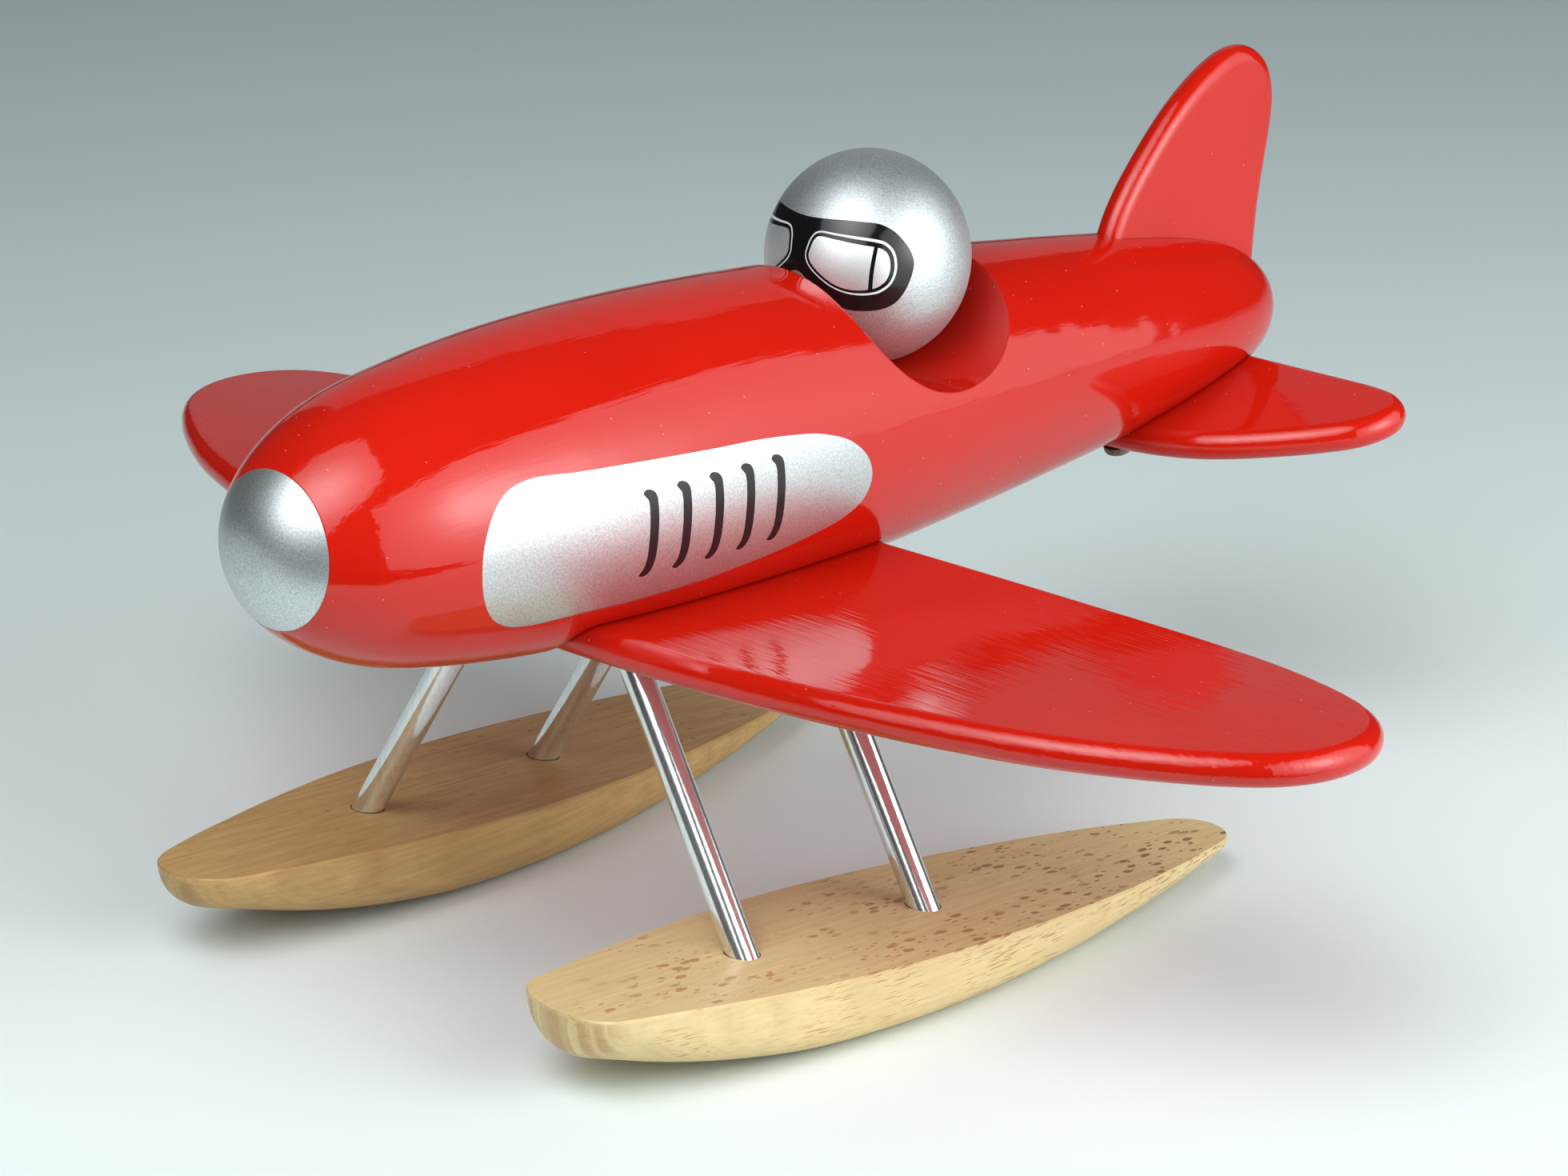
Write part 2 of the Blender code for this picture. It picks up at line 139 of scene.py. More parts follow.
def carve(piece, cutter, operation="DIFFERENCE", sharp_degrees=SMOOTH_BELOW):
    """Saw or bore a cutter's shape out of a piece, then drop the cutter."""
    modifier = piece.modifiers.new("carve", "BOOLEAN")
    modifier.operation = operation
    modifier.solver = "EXACT"
    modifier.object = cutter
    carved = bpy.data.meshes.new_from_object(piece.evaluated_get(bpy.context.evaluated_depsgraph_get()))
    piece.modifiers.clear()
    piece.data = carved
    bpy.data.objects.remove(cutter, do_unlink=True)
    shade(carved, sharp_degrees)


def round_bar(name, start, end, radius, columns=96, rows=2):
    """A round bar: a circle carried along the straight line between two points."""
    start, end = np.asarray(start, float), np.asarray(end, float)
    along = (end - start) / np.linalg.norm(end - start)
    side = np.cross(along, (0.0, 1.0, 0.0) if abs(along[1]) < 0.9 else (1.0, 0.0, 0.0))
    side /= np.linalg.norm(side)
    other = np.cross(along, side)
    angle = 2 * np.pi * np.arange(columns) / columns
    circle = radius * (np.cos(angle)[:, None] * side + np.sin(angle)[:, None] * other)
    middle = start + (end - start) * np.linspace(0.0, 1.0, rows)[:, None]
    return skin(name, middle[:, None] + circle[None])


def nose_block(plane_y):
    """A block ahead of the leaning plane where the silver nose begins."""
    angle = 2 * np.pi * np.arange(4) / 4
    x, z = BLOCK_HALF * np.cos(angle), BLOCK_HALF * np.sin(angle)
    near = np.stack([x, plane_y + CAP_LEAN_X * x + CAP_LEAN_Z * z, axis_height(plane_y) + z], -1)
    return skin("block", np.stack([near, near - (0.0, BLOCK_LENGTH, 0.0)]))


def smooth_curve(points, count, closed=False):
    """Points spread evenly along a centripetal Catmull-Rom spline through the given ones."""
    given = np.asarray(points, float)
    if closed:
        given = np.vstack([given[-1], given, given[0], given[1]])
    else:
        given = np.vstack([2 * given[0] - given[1], given, 2 * given[-1] - given[-2]])
    p0, p1, p2, p3 = given[:-3, None], given[1:-2, None], given[2:-1, None], given[3:, None]
    t1 = np.linalg.norm(p1 - p0, axis=-1, keepdims=True) ** 0.5
    t2 = t1 + np.linalg.norm(p2 - p1, axis=-1, keepdims=True) ** 0.5
    t3 = t2 + np.linalg.norm(p3 - p2, axis=-1, keepdims=True) ** 0.5
    t = t1 + (t2 - t1) * np.linspace(0.0, 1.0, 24, endpoint=False)[None, :, None]
    a1 = p0 * (t1 - t) / t1 + p1 * t / t1
    a2 = p1 * (t2 - t) / (t2 - t1) + p2 * (t - t1) / (t2 - t1)
    a3 = p2 * (t3 - t) / (t3 - t2) + p3 * (t - t2) / (t3 - t2)
    b1 = a1 * (t2 - t) / t2 + a2 * t / t2
    b2 = a2 * (t3 - t) / (t3 - t1) + a3 * (t - t1) / (t3 - t1)
    fine = (b1 * (t2 - t) / (t2 - t1) + b2 * (t - t1) / (t2 - t1)).reshape(-1, given.shape[1])
    fine = np.vstack([fine, given[-2]])
    run = np.concatenate([[0.0], np.cumsum(np.linalg.norm(np.diff(fine, axis=0), axis=1))])
    marks = np.linspace(0.0, run[-1], count, endpoint=not closed)
    return np.stack([np.interp(marks, run, fine[:, k]) for k in range(given.shape[1])], -1)


def plank(name, outline, thickness, place, gap=0.0, skirt=0.0, steps=10):
    """A plank with a fully round rim: half a circle carried round the outline. With a skirt, the lower half
    goes straight down instead, which makes the cutter for the plank's seat."""
    tangent = np.roll(outline, -1, axis=0) - np.roll(outline, 1, axis=0)
    tangent /= np.linalg.norm(tangent, axis=1)[:, None]
    outward = np.stack([tangent[:, 1], -tangent[:, 0]], -1)
    x, y = outline.T
    if np.sum(x * np.roll(y, -1) - np.roll(x, -1) * y) < 0:
        outward = -outward
    half = thickness / 2 + gap
    angle = np.linspace(-np.pi / 2, np.pi / 2, 2 * steps + 1)
    out, level = half * np.cos(angle), half * np.sin(angle)
    if skirt:
        out = np.concatenate([[half], out[steps:]])
        level = np.concatenate([[-skirt], level[steps:]])
    plan = outline[None] + outward[None] * out[:, None, None]
    level = np.broadcast_to(level[:, None], plan.shape[:2])
    return skin(name, place(level, plan[..., 0], plan[..., 1]))


def both_sides(port_half, count):
    """A whole plan from its port half, which runs from the middle to the middle."""
    port = smooth_curve(port_half, count)
    port[[0, -1], 0] = 0.0
    return np.vstack([port, port[-2:0:-1] * (-1.0, 1.0)])


WING_THICKNESS, WING_MIDDLE = 6.26, 54.03
WING_PORT_HALF = [
    (0.0, 32.3), (20.0, 32.8), (40.0, 33.7), (60.0, 34.4), (80.0, 35.0), (98.0, 35.3), (112.0, 35.0),
    (122.0, 34.0), (131.0, 32.3), (138.5, 29.9), (144.8, 26.0), (148.4, 20.9), (149.8, 15.0), (149.2, 8.5),
    (146.2, 2.0), (141.3, -3.4), (134.0, -9.0), (125.2, -14.5), (113.4, -20.5), (100.4, -25.3),
    (86.4, -29.4), (71.7, -32.9), (55.4, -35.8), (39.4, -37.9), (21.4, -39.4), (0.0, -40.2),
]
TAILPLANE_THICKNESS, TAILPLANE_Y, TAILPLANE_MIDDLE, TAILPLANE_TILT = 6.2, 125.0, 63.16, 0.255
TAILPLANE_PORT_HALF = [
    (0.0, 20.4), (16.0, 20.6), (32.0, 21.0), (44.0, 21.2), (49.2, 20.5), (52.4, 18.0), (52.6, 14.6),
    (50.6, 10.0), (45.6, 5.0), (39.3, 0.2), (33.0, -4.0), (26.3, -7.6), (18.4, -10.3), (9.0, -12.0),
    (0.0, -12.6),
]
FIN_THICKNESS = 6.2
FIN_SIDE = [
    (114.6, 86.0), (115.2, 91.0), (116.4, 96.4), (118.6, 101.6), (121.7, 106.4), (125.4, 110.9),
    (129.4, 115.3), (133.6, 119.4), (138.4, 123.3), (143.6, 126.6), (149.0, 128.9), (153.6, 129.1),
    (157.4, 126.6), (159.2, 121.6), (159.0, 116.3), (158.0, 110.5), (156.9, 104.6), (156.0, 98.9),
    (155.4, 92.6), (155.0, 86.0),
]


def wing_place(level, across, along):
    """The wing lies level."""
    return np.stack([across, along, WING_MIDDLE + level], -1)


def tailplane_place(level, across, along):
    """The tailplane follows the slope under the tail."""
    cosine, sine = math.cos(TAILPLANE_TILT), math.sin(TAILPLANE_TILT)
    return np.stack([across, TAILPLANE_Y + along * cosine - level * sine,
                     TAILPLANE_MIDDLE + along * sine + level * cosine], -1)


def fin_place(level, along, height):
    """The fin stands upright in the middle."""
    return np.stack([level, along, height], -1)


def new_material(name):
    """An empty Principled material: its node tree and its shader."""
    material = bpy.data.materials.new(name)
    material.use_nodes = True
    return material, material.node_tree, material.node_tree.nodes["Principled BSDF"]


def own_place(tree, stretch):
    """The piece's own coordinates, each scaled. A stretch below 1 draws a pattern out along that axis."""
    place = tree.nodes.new("ShaderNodeTexCoord")
    mapping = tree.nodes.new("ShaderNodeMapping")
    mapping.inputs["Scale"].default_value = stretch
    tree.links.new(place.outputs["Object"], mapping.inputs["Vector"])
    return mapping.outputs["Vector"]


def noise(tree, stretch, scale, detail=2.0, roughness=0.5):
    """Noise on the piece's own coordinates."""
    texture = tree.nodes.new("ShaderNodeTexNoise")
    texture.inputs["Scale"].default_value = scale
    texture.inputs["Detail"].default_value = detail
    texture.inputs["Roughness"].default_value = roughness
    tree.links.new(own_place(tree, stretch), texture.inputs["Vector"])
    return texture.outputs["Fac"]


def calculate(tree, operation, *values):
    """One step of arithmetic on sockets and numbers."""
    node = tree.nodes.new("ShaderNodeMath")
    node.operation = operation
    for socket, value in zip(node.inputs, values):
        if isinstance(value, float):
            socket.default_value = value
        else:
            tree.links.new(value, socket)
    return node.outputs[0]


def ramp(tree, value, stops):
    """A value through a colour ramp of (position, colour or grey) stops."""
    node = tree.nodes.new("ShaderNodeValToRGB")
    elements = node.color_ramp.elements
    while len(elements) < len(stops):
        elements.new(0.5)
    for element, (position, colour) in zip(elements, stops):
        element.position = position
        element.color = (*colour, 1.0) if isinstance(colour, tuple) else (colour, colour, colour, 1.0)
    tree.links.new(value, node.inputs["Fac"])
    return node.outputs["Color"]


def bump(tree, height, depth, normal=None):
    """Relief of that depth in metres from a 0..1 height, laid over another normal if there is one."""
    node = tree.nodes.new("ShaderNodeBump")
    node.inputs["Strength"].default_value = 1.0
    node.inputs["Distance"].default_value = depth
    tree.links.new(height, node.inputs["Height"])
    if normal is not None:
        tree.links.new(normal, node.inputs["Normal"])
    return node.outputs["Normal"]


def mix(tree, share, first, second):
    """Two colours mixed by a share, a socket or a number. Each colour is a socket or a colour."""
    node = tree.nodes.new("ShaderNodeMix")
    node.data_type = "RGBA"
    if isinstance(share, float):
        node.inputs["Factor"].default_value = share
    else:
        tree.links.new(share, node.inputs["Factor"])
    for name, value in (("A", first), ("B", second)):
        socket = [s for s in node.inputs if s.name == name and s.type == "RGBA"][0]
        if isinstance(value, tuple):
            socket.default_value = (*value, 1.0)
        else:
            tree.links.new(value, socket)
    return [s for s in node.outputs if s.type == "RGBA"][0]


def specks(tree, stretch, scale, size, ragged=0.0):
    """Small spots about the points of a Voronoi pattern: 1 within the size of a point, in cells, 0 outside.
    ragged adds that much noise to the distance, so that no two spots are alike."""
    texture = tree.nodes.new("ShaderNodeTexVoronoi")
    texture.inputs["Scale"].default_value = scale
    tree.links.new(own_place(tree, stretch), texture.inputs["Vector"])
    distance = texture.outputs["Distance"]
    if ragged:
        distance = calculate(tree, "MULTIPLY_ADD", noise(tree, stretch, 2.5 * scale), ragged, distance)
    reach = size + 0.5 * ragged
    return ramp(tree, distance, [(reach - 0.3 * size, 1.0), (reach, 0.0)])


def red_lacquer(name, grain, grain_depth=0.000035):
    """Glossy red lacquer over wood. grain stretches the relief of the grain along the wood's fibres."""
    material, tree, shader = new_material(name)
    cloud = noise(tree, (1.0, 1.0, 1.0), 14.0, 3.0)
    red = ramp(tree, cloud, [(0.3, (0.49, 0.0080, 0.0025)), (0.7, (0.55, 0.0105, 0.0035))])
    dust = specks(tree, (1.0, 1.0, 1.0), 260.0, 0.045)
    tree.links.new(mix(tree, dust, red, (0.72, 0.20, 0.17)), shader.inputs["Base Color"])
    shader.inputs["Roughness"].default_value = 0.07
    shader.inputs["IOR"].default_value = 1.52
    edge = tree.nodes.new("ShaderNodeBevel")
    edge.inputs["Radius"].default_value = 0.0006
    edge.samples = 4
    waves = bump(tree, noise(tree, (1.0, 1.0, 1.0), 70.0, 1.0), 0.00022, edge.outputs["Normal"])
    fibres = bump(tree, noise(tree, grain, 900.0), grain_depth, waves)
    tree.links.new(fibres, shader.inputs["Normal"])
    return material


def dress(piece, material, *nodes):
    """Give a piece its material, let it ride on the part's body and stand for its CAD node or nodes."""
    piece.data.materials.clear()
    piece.data.materials.append(material)
    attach(piece, "root")
    if nodes:
        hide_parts(*nodes)


wing_plan = both_sides(WING_PORT_HALF, 150)
tailplane_plan = both_sides(TAILPLANE_PORT_HALF, 100)
fin_plan = smooth_curve(FIN_SIDE, 160)

fuselage = turned("fuselage_body")
carve(fuselage, nose_block(CAP_PLANE_Y + CAP_JOINT))
carve(fuselage, plank("cutter", wing_plan, WING_THICKNESS, wing_place, SEAT_GAP, WING_SEAT_DEPTH))
carve(fuselage, plank("cutter", tailplane_plan, TAILPLANE_THICKNESS, tailplane_place, SEAT_GAP,
                      TAILPLANE_SEAT_DEPTH))
carve(fuselage, plank("cutter", fin_plan, FIN_THICKNESS, fin_place, SEAT_GAP))
carve(fuselage, round_bar("cutter", (-NOTCH_REACH, NOTCH_Y, NOTCH_HEIGHT),
                          (NOTCH_REACH, NOTCH_Y, NOTCH_HEIGHT), NOTCH_RADIUS, 160))
dress(fuselage, red_lacquer("lacquer_fuselage", (1.0, 0.06, 1.0)), "fuselage")


# NOSE CAP
# The rounded front of the fuselage, masked off along a clean edge and sprayed with silver paint. The paint
# carries coarse aluminium flake, which shows as a fine mottled grain.

PLAIN_SILVER = ((0.44, 0.47, 0.48), (0.76, 0.79, 0.80))


def silver_paint(name, flake_depth, roughness, streaks=None, colours=PLAIN_SILVER):
    """Silver paint: metal flake under a thin clear coat. streaks draws fine lathe marks out along an axis."""
    material, tree, shader = new_material(name)
    grain = noise(tree, (1.0, 1.0, 1.0), 2800.0, 3.0, 0.7)
    colour = ramp(tree, grain, [(0.30, colours[0]), (0.70, colours[1])])
    tree.links.new(colour, shader.inputs["Base Color"])
    shader.inputs["Metallic"].default_value = 0.92
    shader.inputs["Roughness"].default_value = roughness
    relief = bump(tree, grain, flake_depth)
    if streaks:
        relief = bump(tree, noise(tree, streaks, 800.0, 3.0), 0.000010, relief)
    tree.links.new(relief, shader.inputs["Normal"])
    return material


nose_cap = turned("nose_cap_paint")
carve(nose_cap, nose_block(CAP_PLANE_Y), "INTERSECT")
dress(nose_cap, silver_paint("silver_nose", 0.000016, 0.42), "nose_cap")


# PILOT'S HEAD
# A turned wooden ball, a little taller than wide, sprayed silver and glued into the notch. The goggles are
# printed on it in gloss black and white: a band over the nose, and two silver lenses, painted lighter than
# the ball to stand in for the highlight they catch.

HEAD_CENTRE = (0.0, 48.7, 106.2)
HEAD_RADIUS, HEAD_HALF_HEIGHT = 19.65, 20.4
HEAD_TURN = 2.35
HEAD_FLAKE_DEPTH, HEAD_ROUGHNESS, HEAD_STREAKS = 0.000003, 0.50, (0.05, 0.05, 1.0)
# The lenses' lighter silver is painted highlight, laid over the printed lenses.
HIGHLIT_LENS_SILVER = ((0.80, 0.83, 0.84), (0.95, 0.97, 0.97))
# The prints lie in layers over the silver, and each goes a little way under the surface.
BAND_LIFT, LINE_LIFT, RIM_LIFT, GLASS_LIFT, BAR_LIFT = 0.02, 0.04, 0.055, 0.07, 0.085
PRINT_DEPTH, PRINT_SMOOTH_BELOW = 0.08, 60.0
HANDS = (("port", 1), ("starboard", -1))


def head_surface(longitude, latitude, lift=0.0):
    """A point of the ball at a longitude, 0 to the front and 90 to port, and a latitude, in degrees."""
    a, b = np.radians(longitude), np.radians(latitude)
    radius, half_height = HEAD_RADIUS + lift, HEAD_HALF_HEIGHT + lift
    x = radius * np.cos(b) * np.sin(a)
    y = -radius * np.cos(b) * np.cos(a)
    return np.stack([x, y, half_height * np.sin(b)], -1) + HEAD_CENTRE


def print_patch(name, outline, surface, lift, rings=14, middle=None):
    """A thin printed patch: its outline drawn in rings towards a middle point, and back under the surface."""
    middle = np.mean(outline, axis=0) if middle is None else np.asarray(middle, float)
    share = np.linspace(0.02, 1.0, rings)
    share = np.concatenate([share, share[::-1]])[:, None, None]
    depth = np.concatenate([np.full(rings, lift), np.full(rings, -PRINT_DEPTH)])[:, None]
    spread = middle + (outline[None] - middle) * share
    return skin(name, surface(spread[..., 0], spread[..., 1], depth), PRINT_SMOOTH_BELOW)


head = skin("head_ball", head_surface(*np.meshgrid(np.linspace(0, 360, 128, endpoint=False),
                                                   np.linspace(-89.5, 89.5, 96))))
head_silver = silver_paint("silver_head", HEAD_FLAKE_DEPTH, HEAD_ROUGHNESS, HEAD_STREAKS)
# The lenses take the lighter silver, which is painted highlight.
lens_silver = silver_paint("silver_lens", HEAD_FLAKE_DEPTH, HEAD_ROUGHNESS, HEAD_STREAKS, HIGHLIT_LENS_SILVER)
dress(head, head_silver, "pilot_head")

# Outlines in degrees from the middle of the goggles, port half: the band, and the lens with its lines.
BAND_PORT = [
    (0.0, 31.2), (8.0, 31.4), (19.0, 31.8), (29.5, 32.0), (40.0, 31.5), (50.0, 30.4), (58.4, 26.4),
    (64.2, 20.5), (67.6, 15.0), (69.1, 9.5), (67.9, 3.6), (65.6, -2.0), (62.5, -7.6), (58.4, -12.2),
    (53.0, -15.0), (46.5, -16.4), (39.0, -16.8), (31.0, -16.2), (23.0, -13.5), (15.0, -9.0), (9.0, -4.0),
    (4.5, 0.4), (0.0, 2.0),
]
BAND_MIDDLE = (0.0, 12.0)
LENS_PORT = [
    (5.4, 10.8), (5.9, 15.6), (7.3, 20.4), (9.9, 23.6), (13.5, 24.8), (22.4, 24.5), (35.2, 23.6),
    (47.0, 22.3), (52.6, 20.8), (56.4, 17.8), (58.3, 14.4), (59.0, 10.6), (58.9, 6.2), (57.7, 2.0),
    (55.6, -1.6), (52.5, -4.3), (48.3, -6.4), (42.8, -7.4), (36.3, -7.5), (29.8, -6.6), (23.0, -4.3),
    (16.8, -0.9), (11.2, 3.0), (7.4, 6.6),
]
LENS_MIDDLE = (33.0, 9.0)
BAR_TOP, BAR_FOOT, BAR_WIDTH, BAR_BOW = (47.5, 18.9), (44.2, -4.6), 2.3, 0.7


def inset(outline, distance):
    """The outline moved inwards by a distance, which may change round it."""
    tangent = np.roll(outline, -1, axis=0) - np.roll(outline, 1, axis=0)
    tangent /= np.linalg.norm(tangent, axis=1)[:, None]
    inward = np.stack([tangent[:, 1], -tangent[:, 0]], -1)
    return outline + inward * np.asarray(distance)[:, None]


def printed(name, colour, roughness):
    """Printing ink with a little unevenness."""
    material, tree, shader = new_material(name)
    thin = tuple(0.85 * c for c in colour)
    ink = ramp(tree, noise(tree, (1.0, 1.0, 1.0), 900.0), [(0.3, thin), (0.7, colour)])
    tree.links.new(ink, shader.inputs["Base Color"])
    shader.inputs["Roughness"].default_value = roughness
    tree.links.new(bump(tree, noise(tree, (1.0, 1.0, 1.0), 600.0, 1.0), 0.000006), shader.inputs["Normal"])
    return material


gloss_black = printed("print_black", (0.006, 0.006, 0.007), 0.12)
gloss_white = printed("print_white", (0.75, 0.77, 0.78), 0.3)


def goggle_surface(side):
    """The ball's surface, seen from the middle of the goggles, which sit turned a little to port."""
    return lambda longitude, latitude, lift: head_surface(side * longitude + HEAD_TURN, latitude, lift)


band_port = smooth_curve(BAND_PORT, 150)
band = np.vstack([band_port, band_port[-2:0:-1] * (-1.0, 1.0)])
goggle_band = print_patch("goggle_band", band, goggle_surface(1), BAND_LIFT, 40, BAND_MIDDLE)
dress(goggle_band, gloss_black)

lens = smooth_curve(LENS_PORT, 200, closed=True)
round_lens = np.arctan2(lens[:, 1] - LENS_MIDDLE[1], lens[:, 0] - LENS_MIDDLE[0])
# The white line is thinner towards the nose and below; the black one inside it is thicker above and outside.
white_width = 1.15 + 0.45 * np.cos(round_lens - 0.5)
black_width = white_width + 2.0 + 0.6 * np.cos(round_lens - 0.9)
# The bar across the lens bows a little towards the nose.
down = np.linspace(0.0, 1.0, 30)[:, None]
bar_line = BAR_TOP + (np.array(BAR_FOOT) - BAR_TOP) * down - BAR_BOW * np.sin(np.pi * down) * (1.0, 0.0)
bar_outline = np.vstack([bar_line + (BAR_WIDTH / 2, 0.0), bar_line[::-1] - (BAR_WIDTH / 2, 0.0)])
for hand, side in HANDS:
    surface = goggle_surface(side)
    line = print_patch("lens_line_" + hand, lens, surface, LINE_LIFT)
    dress(line, gloss_white)
    rim = print_patch("lens_rim_" + hand, inset(lens, white_width), surface, RIM_LIFT)
    dress(rim, gloss_black)
    glass = print_patch("lens_silver_" + hand, inset(lens, black_width), surface, GLASS_LIFT)
    dress(glass, lens_silver)
    bar = print_patch("lens_bar_" + hand, bar_outline, surface, BAR_LIFT)
    dress(bar, gloss_black)


# SIDE PANELS
# A silver field sprayed through a stencil on both sides of the fuselage, with five dark louvre marks printed
# over it. Both are paint, a few hundredths of a millimetre thick.

PANEL = [
    (-70.0, 75.4), (-69.5, 80.1), (-67.0, 85.1), (-63.6, 88.1), (-58.5, 89.4), (-49.0, 89.0),
    (-35.3, 88.5), (-16.9, 87.7), (-7.2, 87.3), (2.8, 86.3), (8.8, 85.2), (15.8, 82.5), (20.2, 78.4),
    (21.4, 74.2), (19.9, 70.4), (15.7, 67.7), (8.9, 66.0), (-0.9, 64.4), (-12.5, 63.1), (-23.7, 62.2),
    (-34.7, 61.8), (-47.0, 61.8), (-57.0, 61.6), (-61.9, 62.5), (-66.0, 65.2), (-69.0, 70.0),
]
PANEL_LIFT, LOUVRE_LIFT = 0.03, 0.05
# One louvre mark: its nose side and its tail side, from the hooked top to the hooked foot.
LOUVRE_FRONT = [
    (-3.3, 7.6), (-2.9, 7.0), (-2.35, 6.4), (-2.1, 5.2), (-2.08, 3.3), (-2.05, 1.0), (-2.05, -1.8),
    (-2.0, -3.9), (-2.05, -5.4), (-2.3, -6.7), (-3.1, -8.0),
]
LOUVRE_BACK = [
    (-3.3, 7.6), (-2.8, 8.15), (-1.9, 8.15), (-0.9, 7.7), (-0.3, 6.8), (-0.12, 5.0), (-0.05, 2.9),
    (-0.05, 0.6), (-0.03, -1.7), (0.0, -3.8), (-0.1, -5.6), (-0.4, -7.0), (-1.1, -8.0), (-2.1, -8.4),
    (-3.1, -8.0),
]
LOUVRE_COUNT, LOUVRE_PITCH, LOUVRE_FIRST, LOUVRE_HEIGHT, LOUVRE_RISE = 5, 7.66, -32.5, 75.4, 0.12


def side_surface(side):
    """The fuselage's side: x from the turned radius at a distance y along it and a height z."""
    def surface(y, z, lift):
        radius = fuselage_radius(y) + lift
        above = z - axis_height(y)
        return np.stack([side * np.sqrt(np.maximum(radius ** 2 - above ** 2, 0.0)), y, z], -1)
    return surface


def strip_patch(name, front, back, surface, lift, rows=48):
    """A thin printed strip between two curves, drawn from its top to its foot, and back under it."""
    front, back = smooth_curve(front, rows), smooth_curve(back, rows)
    across = np.array([0.0, 0.25, 0.5, 0.75, 1.0, 1.0, 0.75, 0.5, 0.25, 0.0])
    depth = np.array([lift] * 5 + [-PRINT_DEPTH] * 5)
    spread = front[:, None] + (back - front)[:, None] * across[None, :, None]
    return skin(name, surface(spread[..., 0], spread[..., 1], depth[None]), PRINT_SMOOTH_BELOW)


panel_silver = silver_paint("silver_panel", 0.000008, 0.42)
louvre_ink = printed("print_louvre", (0.010, 0.007, 0.009), 0.26)
panel_outline = smooth_curve(PANEL, 260, closed=True)
for hand, side in HANDS:
    surface = side_surface(side)
    panel = print_patch("panel_" + hand, panel_outline, surface, PANEL_LIFT, 40)
    dress(panel, panel_silver)
    for number in range(LOUVRE_COUNT):
        shift = np.array([LOUVRE_FIRST + LOUVRE_PITCH * number, LOUVRE_HEIGHT + LOUVRE_RISE * number])
        louvre = strip_patch("louvre_%s_%d" % (hand, number + 1), np.array(LOUVRE_FRONT) + shift,
                             np.array(LOUVRE_BACK) + shift, surface, LOUVRE_LIFT)
        dress(louvre, louvre_ink)


# WING
# One beech plank from tip to tip, its rim sanded fully round, let into the underside of the fuselage and
# lacquered red. The grain runs along the span and telegraphs through the lacquer. A bead of dark red glue
# lies hidden in the joint along the middle.

SPAN_GRAIN = (0.06, 1.0, 1.0)
WING_GRAIN_DEPTH = 0.00008
GLUE_RADIUS = 0.9
WING_GLUE_ENDS = (-38.0, 31.0)

wing = plank("wing_plank", wing_plan, WING_THICKNESS, wing_place)
dress(wing, red_lacquer("lacquer_wing", SPAN_GRAIN, WING_GRAIN_DEPTH), "wing")

glue, tree, shader = new_material("glue")
smears = noise(tree, (1.0, 1.0, 1.0), 600.0)
glue_red = ramp(tree, smears, [(0.3, (0.05, 0.008, 0.006)), (0.7, (0.09, 0.016, 0.012))])
tree.links.new(glue_red, shader.inputs["Base Color"])
shader.inputs["Roughness"].default_value = 0.5


def glue_bead(name, place, thickness, ends):
    """A bead of glue along the middle of a plank's seat, which it fills, so that no light shows through."""
    level = (thickness + SEAT_GAP) / 2
    bead = round_bar(name, place(level, 0.0, ends[0]), place(level, 0.0, ends[1]), GLUE_RADIUS, 24)
    dress(bead, glue)
    return bead


wing_glue = glue_bead("glue_wing", wing_place, WING_THICKNESS, WING_GLUE_ENDS)


# TAILPLANE
# A smaller beech plank of the same make, its rim sanded fully round and lacquered red. It is glued and
# screwed under the rising tail, with a bead of glue hidden in the joint.

TAILPLANE_GLUE_ENDS = (-11.0, 19.0)

tailplane = plank("tailplane_plank", tailplane_plan, TAILPLANE_THICKNESS, tailplane_place)
dress(tailplane, red_lacquer("lacquer_tailplane", SPAN_GRAIN), "tailplane")
tailplane_glue = glue_bead("glue_tailplane", tailplane_place, TAILPLANE_THICKNESS, TAILPLANE_GLUE_ENDS)


# FIN
# An upright beech plank with a fully round rim, lacquered red like the others. It is glued into a slot in the
# top of the tail, and its grain runs upwards.

fin = plank("fin_plank", fin_plan, FIN_THICKNESS, fin_place)
dress(fin, red_lacquer("lacquer_fin", (1.0, 1.0, 0.08)), "fin")


# STRUTS
# Four round steel rods, drawn and polished bright, pushed into drilled holes in the floats and in the wing's
# root. Polishing leaves faint lines along each rod.

STRUT_RADIUS, STRUT_HOLE_RADIUS = 2.9, 3.1
STRUT_FOOT, STRUT_TOP = 8.0, 66.0
ROD_LINES = (1.0, 1.0, 0.02)
STRUTS = {
    # name: (distance from the middle at the deck, y at the deck, lean inwards, lean backwards)
    "front_port": (50.5, -30.1, 0.652, 0.027),
    "rear_port": (53.4, 12.4, 0.656, 0.023),
    "front_starboard": (52.0, -33.0, 0.645, 0.043),
    "rear_starboard": (53.1, 13.4, 0.655, 0.024),
}


def strut_point(place, side, height):
    """A point on a strut's slanted middle line."""
    out, y, inwards, backwards = STRUTS[place]
    return (side * (out - inwards * height), y + backwards * height, height)


polished_steel, tree, shader = new_material("polished_steel")
rod_tint = ramp(tree, noise(tree, ROD_LINES, 1500.0), [(0.3, (0.72, 0.75, 0.75)), (0.7, (0.88, 0.90, 0.90))])
tree.links.new(rod_tint, shader.inputs["Base Color"])
shader.inputs["Metallic"].default_value = 0.88
shader.inputs["Roughness"].default_value = 0.14
tree.links.new(bump(tree, noise(tree, ROD_LINES, 1800.0), 0.000012), shader.inputs["Normal"])
for place in STRUTS:
    side = 1 if place.endswith("port") else -1
    foot, top = strut_point(place, side, -STRUT_FOOT), strut_point(place, side, STRUT_TOP)
    strut = round_bar("rod_" + place, foot, top, STRUT_RADIUS, 64, 60)
    dress(strut, polished_steel, "strut_" + place)


# FLOATS
# Solid beech, sawn to a pointed plan with blunt ends, flat on the deck and rounded below, sanded and clear
# varnished. The port one is pale with dark ray flecks, the starboard one browner with long grain.

